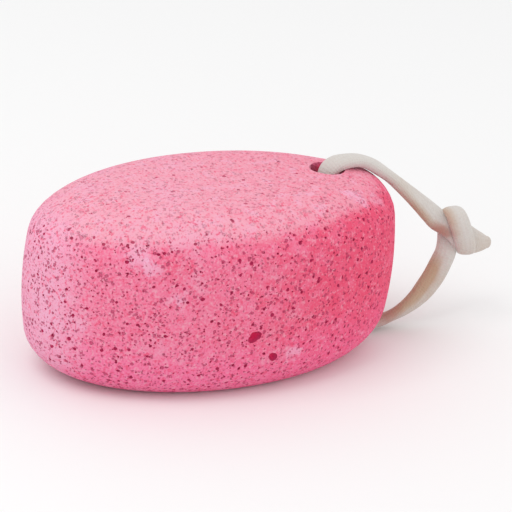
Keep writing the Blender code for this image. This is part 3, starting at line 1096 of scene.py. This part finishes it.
# Patches seen in the photograph: place and radius in millimetres
PALE_PATCHES = (
    ((-29.0, -20.5, 37.5), 3.4),
    ((-27.0, -22.5, 34.5), 2.8),
    ((-45.0, -8.5, 17.5), 4.8),
    ((-40.0, -15.0, 19.5), 2.6),
    ((9.0, -27.0, 11.0), 2.6),
    ((30.5, -13.5, 42.5), 3.4),
    ((-20.5, -25.5, 27.0), 2.6),
)
RED_PATCHES = (
    ((29.0, -18.0, 40.0), 5.0),
    ((-20.5, -24.0, 36.0), 5.5),
    ((22.0, -24.0, 30.0), 5.0),
)
PATCH_FRAY = 9 * MM
PATCH_CORE = 0.35               # share of a patch's radius that is full


def patch_shares(finish, place, stray, patches):
    """Where some patches lie, with frayed edges."""
    shares = 0.0
    for spot, radius in patches:
        away = finish.node(
            "ShaderNodeVectorMath", {"operation": "DISTANCE"},
            {0: place, 1: tuple(np.multiply(spot, MM))}, output="Value")
        away = away + (stray - 0.5) * PATCH_FRAY
        shares = shares + finish.step(away, radius * MM, radius * PATCH_CORE * MM)
    return shares


# Sizes of the noises and specks on the stone, and ways along x and up z between which it changes
CLOUDS, PATCHES, MOTTLE, FLECKS = 11 * MM, 3.0 * MM, 1.0 * MM, 0.50 * MM
COARSE_CELL, FINE_SPECK_CELL = 1.25 * MM, 0.80 * MM
GRAIN, LUMPS, STONE_RELIEF = 0.28 * MM, 1.3 * MM, 0.18 * MM
TOWARDS_HOLE, TOWARDS_HOLE_STRAY = (-40 * MM, 46 * MM), 36 * MM
FOOT, FOOT_STRAY = (2 * MM, 22 * MM), 14 * MM
FAR_END, FAR_END_STRAY = (36 * MM, 46 * MM), 10 * MM
# where on the top the painted light gives way to the shaded side
CREASE_FALLS = (-5 * MM, 42 * MM)
PIT_RIM, PIT_FLOOR = (0.03, 0.16), (0.3, 1.0)   # depths in millimetres
# Light and dark marks in the mottle and the flecks: noise levels between which they set in, their
# share, and how much of the light ones' share goes towards the hole
MOTTLE_MARKS = (0.54, 0.70), 0.52, 0.14, (0.47, 0.30), 0.60
FLECK_MARKS = (0.54, 0.66), 0.36, 0.20, (0.46, 0.34), 0.40


def stone_finish(colours):
    """Mottled pink stone: paler on top with painted top light, deeper towards the drilled end with
    painted shade, dark red in the pits with painted shade deeper in.
    """
    finish = Finish("pink_pumice", 0.93)
    place = finish.object_place()
    across, height = finish.part(place, 0), finish.part(place, 2)
    depth = finish.stored("depth")
    clouds = finish.noise(place, CLOUDS)
    patches = finish.noise(place, PATCHES, 3.0)
    mottle = finish.noise(place, MOTTLE, 3.0)
    flecks = finish.noise(place, FLECKS)
    coarse_specks = specks(finish, place, COARSE_CELL, -0.10, 0.42)
    fine_specks = specks(finish, place, FINE_SPECK_CELL, -0.10, 0.44)

    # the sides: pink, redder towards the hole, partly as painted shade on the end away from the key
    # light, bluer at the foot
    towards_hole = finish.step(across + (clouds - 0.5) * TOWARDS_HOLE_STRAY, *TOWARDS_HOLE)
    low = 1 - finish.step(height + (clouds - 0.5) * FOOT_STRAY, *FOOT)
    finish.colour = colours.pink
    finish.paint(
        finish.step(towards_hole * 0.94 + 0.02 + (patches - 0.5) * 1.5, 0.0, 1.0), colours.rose)
    finish.paint(low * 0.5, colours.magenta)
    finish.paint(patch_shares(finish, place, patches, RED_PATCHES) * 0.45, colours.rose)

    # the pale top and the pale far end: partly their own paler colour, partly painted light from
    # above and from the left
    crease = finish.step(across, *CREASE_FALLS) * 0.19 + 0.64
    upward = finish.stored("upward") - crease
    on_top = finish.step(upward + (patches - 0.5) * 0.36, -0.15, 0.13)
    at_far_end = finish.step(across * -1 + (patches - 0.5) * FAR_END_STRAY, *FAR_END)
    finish.paint(on_top * (0.94 - towards_hole * 0.22), colours.pale)
    finish.paint(at_far_end * 0.78, colours.lavender)
    finish.paint(on_top * finish.step(patches, 0.50, 0.66) * 0.30, colours.pink)
    finish.paint(on_top * finish.step(patches, 0.48, 0.34) * 0.45, colours.lavender)

    # cool clouds and patches, then light and dark marks
    cool = finish.step(clouds + (patches - 0.5) * 0.7 - towards_hole * 0.14, 0.50, 0.68)
    finish.paint(cool * 0.36, colours.lavender)
    finish.paint(patch_shares(finish, place, patches, PALE_PATCHES) * 0.62, colours.lavender)
    for noise, marks in ((mottle, MOTTLE_MARKS), (flecks, FLECK_MARKS)):
        light, light_share, fading, dark, dark_share = marks
        finish.paint(
            finish.step(noise, *light) * (light_share - towards_hole * fading), colours.pale)
        finish.paint(finish.step(noise, *dark) * dark_share, colours.rose)

    # specks, fewer on top, and the pits: their dark red is partly the pits' own colour and partly
    # painted shade, darker the deeper they go
    shown = 1 - on_top * 0.66
    finish.paint(fine_specks * shown * 0.60, colours.pit)
    finish.paint(coarse_specks * shown * 0.70, colours.pit)
    # darker deeper in the pits: painted shade in the recesses over the pits' own red
    inside = finish.blend(finish.step(depth, *PIT_FLOOR), colours.pit, colours.crimson)
    finish.paint(finish.step(depth, *PIT_RIM) * (1 - on_top * 0.25), inside)
    finish.feed("Base Color", finish.colour)

    grain = finish.noise(place, GRAIN, 3.0, 0.6)
    lumps = finish.noise(place, LUMPS)
    finish.emboss(
        grain * 0.4 + lumps * 0.8 - coarse_specks * 1.1 - fine_specks * 0.5, STONE_RELIEF)
    return finish.material


# The stage

FLOOR_SIZE = 6.0
FLOOR_WHITE = (0.9, 0.9, 0.9, 1.0)
SURROUND_STRENGTH = 0.87
PANEL_AIM = Vector((0.0, 0.0, 0.02))
PANELS = (
    # name, place and side in metres, power in watts
    ("key", (-0.45, -0.10, 0.75), 0.5, 2.0),
    ("fill", (0.75, -0.35, 0.20), 0.6, 1.0),
)
PICTURE_WIDTH = 512             # pixels across the photograph
SENSOR_WIDTH = 36.0             # millimetres across the camera's sensor
NEAREST_SEEN = 0.01


class OBJECT_OT_pumice_stage(Operator):
    """Sets up the floor, the soft light and the camera"""

    bl_idname = "object.pumice_stage"
    bl_label = "Stage"

    def execute(self, context):
        settings = context.scene.pumice_stage
        context.scene.view_settings.view_transform = "Standard"
        make_floor()
        make_lights()
        make_camera(context, settings)
        return {"FINISHED"}


def make_floor():
    """A wide pale floor."""
    start_piece()
    bpy.ops.mesh.primitive_plane_add(size=FLOOR_SIZE)
    floor = added("floor")
    finish = Finish("floor_white", 0.9)
    finish.shader.inputs["Base Color"].default_value = FLOOR_WHITE
    finish.shader.inputs["Specular IOR Level"].default_value = 0.1
    floor.data.materials.append(finish.material)


def make_lights():
    """Soft studio light: a bright surround, a large key from the left and a weak fill."""
    world = bpy.context.scene.world or bpy.data.worlds.new("World")
    bpy.context.scene.world = world
    world.use_nodes = True
    background = world.node_tree.nodes["Background"]
    background.inputs["Color"].default_value = (1.0, 1.0, 1.0, 1.0)
    background.inputs["Strength"].default_value = SURROUND_STRENGTH
    for panel in PANELS:
        add_panel(*panel)


def add_panel(name, place, size, power):
    """A square soft light that faces the stone."""
    start_piece()
    bpy.ops.object.light_add(type="AREA", location=place)
    panel = bpy.context.object
    panel.name = name
    panel.data.shape = "SQUARE"
    panel.data.size = size
    panel.data.energy = power
    aim = PANEL_AIM - Vector(place)
    panel.rotation_euler = aim.to_track_quat("-Z", "Y").to_euler()


def make_camera(context, settings):
    """The camera of the photograph."""
    start_piece()
    bpy.ops.object.camera_add()
    camera = bpy.context.object
    focal = settings.scale * settings.distance / MM
    camera.data.sensor_width = SENSOR_WIDTH
    camera.data.lens = SENSOR_WIDTH * focal / PICTURE_WIDTH
    camera.data.clip_start = NEAREST_SEEN
    turned = Matrix.Rotation(-settings.turn, 4, "Z")
    back = settings.distance
    seat = turned @ Vector((
        settings.aim_side,
        -back * math.cos(settings.rise),
        settings.aim_height + back * math.sin(settings.rise)))
    tipped = Matrix.Rotation(math.pi / 2 - settings.rise, 4, "X")
    rolled = Matrix.Rotation(settings.roll, 4, "Z")
    camera.matrix_world = Matrix.Translation(seat) @ turned @ tipped @ rolled
    context.scene.camera = camera


class VIEW3D_PT_pumice(Panel):
    """Lists the pieces of the stone and its cord"""

    bl_label = "Pumice Stone"
    bl_idname = "VIEW3D_PT_pumice"
    bl_space_type = "VIEW_3D"
    bl_region_type = "UI"
    bl_category = "Pumice"

    def draw(self, context):
        layout = self.layout
        for group in GROUPS:
            box = layout.box()
            settings = getattr(context.scene, group)
            for name in settings.bl_rna.properties.keys():
                if name not in {"rna_type", "name"}:
                    box.prop(settings, name)
        for operator in OPERATORS:
            layout.operator(operator.bl_idname)


OPERATORS = (
    OBJECT_OT_pumice_stage, OBJECT_OT_pumice_cord, OBJECT_OT_pumice_knot, OBJECT_OT_pumice_body)
GROUPS = {
    "pumice_sizes": StoneSizes,
    "pumice_colours": StoneColours,
    "cord_sizes": CordSizes,
    "cord_colours": CordColours,
    "pumice_stage": StageSettings,
}


def register():
    """Makes the settings, the operators and the panel known to Blender."""
    for name, group in GROUPS.items():
        bpy.utils.register_class(group)
        setattr(bpy.types.Scene, name, PointerProperty(type=group))
    for operator in (*OPERATORS, VIEW3D_PT_pumice):
        bpy.utils.register_class(operator)


def unregister():
    """Takes them away again."""
    for operator in (VIEW3D_PT_pumice, *reversed(OPERATORS)):
        bpy.utils.unregister_class(operator)
    for name, group in reversed(GROUPS.items()):
        delattr(bpy.types.Scene, name)
        bpy.utils.unregister_class(group)


def main():
    """Builds every piece."""
    register()
    for operator in OPERATORS:
        getattr(bpy.ops.object, operator.bl_idname.split(".")[1])()


if __name__ == "__main__":
    main()
